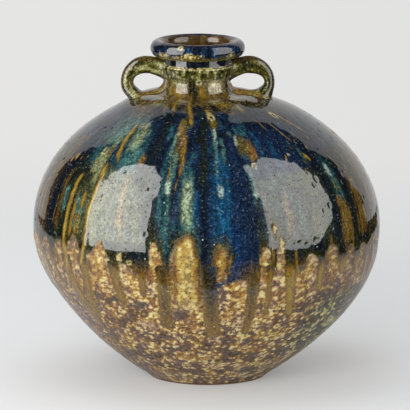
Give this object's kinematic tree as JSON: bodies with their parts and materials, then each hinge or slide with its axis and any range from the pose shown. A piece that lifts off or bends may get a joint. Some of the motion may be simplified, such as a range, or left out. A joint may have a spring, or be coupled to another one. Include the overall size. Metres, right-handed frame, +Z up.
{
  "type": "lug-handled vase",
  "caption": "Squat round stoneware vase on a narrow turned foot, with a short waisted neck, a fat rolled lip and two small looped lug handles.",
  "frame": {"origin": "centre of the object's box at the flat foot ring that it stands on, under the belly's axis", "axes": "+Z up through the mouth, -Y towards the front of the picture, lugs along +X and -X"},
  "size_m": [0.246, 0.246, 0.24],
  "materials": {
    "blue_run_glaze": "gloss",
    "crusted_glaze": "satin",
    "olive_glaze": "gloss",
    "navy_glaze": "gloss",
    "green_glaze": "gloss"
  },
  "bodies": {
    "root": {"lower_body": "crusted_glaze", "upper_body": "blue_run_glaze", "neck_collar": "olive_glaze", "rolled_lip": "navy_glaze", "left_lug": "green_glaze", "right_lug": "green_glaze"}
  },
  "joints": []
}
